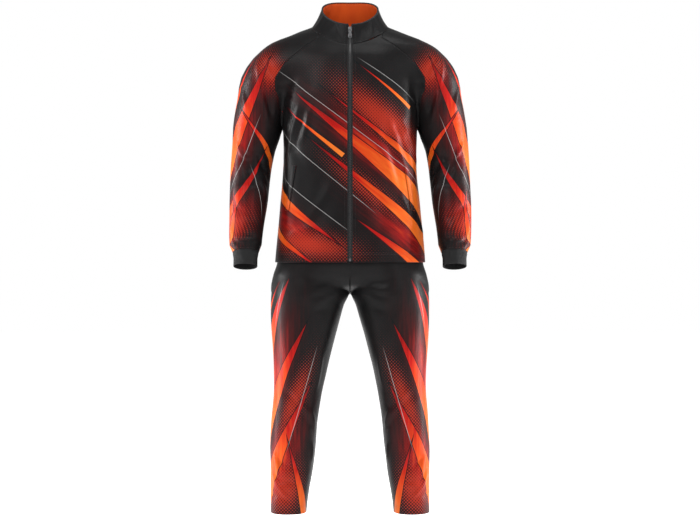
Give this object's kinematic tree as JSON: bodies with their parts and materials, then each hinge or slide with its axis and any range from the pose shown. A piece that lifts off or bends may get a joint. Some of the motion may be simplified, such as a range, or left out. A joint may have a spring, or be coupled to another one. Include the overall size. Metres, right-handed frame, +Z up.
{
  "type": "tracksuit",
  "caption": "Worn-form tracksuit: raglan zip jacket with stand collar and rib cuffs over tapered trousers, printed in orange and red on charcoal.",
  "frame": {"origin": "middle of the neck between the shoulders, where the wearer holds the jacket up", "axes": "+Z up, the front faces -Y, +X to the wearer's left"},
  "size_m": [0.7358, 0.285, 1.562],
  "materials": {
    "jacket_cloth": "smooth polyester knit with a soft sheen, printed",
    "trouser_cloth": "smooth polyester knit with a soft sheen, printed",
    "rib_knit": "fine rib knit",
    "collar_lining": "brushed knit",
    "zip_tape": "woven tape",
    "zip_chain": "moulded teeth",
    "zip_metal": "dark satin"
  },
  "bodies": {
    "garment": {"collar": "jacket_cloth", "collar_lining": "collar_lining", "cuff_left": "rib_knit", "cuff_right": "rib_knit", "jacket_back": "jacket_cloth", "jacket_front_left": "jacket_cloth", "jacket_front_right": "jacket_cloth", "pocket_welt_left": "jacket_cloth", "pocket_welt_right": "jacket_cloth", "sleeve_left": "jacket_cloth", "sleeve_right": "jacket_cloth", "trousers_back_left": "trouser_cloth", "trousers_back_right": "trouser_cloth", "trousers_front_left": "trouser_cloth", "trousers_front_right": "trouser_cloth", "waistband": "rib_knit", "zip_box": "zip_metal", "zip_chain": "zip_chain", "zip_slider": "zip_metal", "zip_tape_left": "zip_tape", "zip_tape_right": "zip_tape"},
    "pull": {"zip_pull": "zip_metal"}
  },
  "joints": [
    {"name": "pull_swing", "type": "hinge", "parent": "garment", "child": "pull", "pos_m": [0, -0.08178, -0.01702], "axis": [-1, 0, 0], "range_deg": [0, 160]}
  ]
}
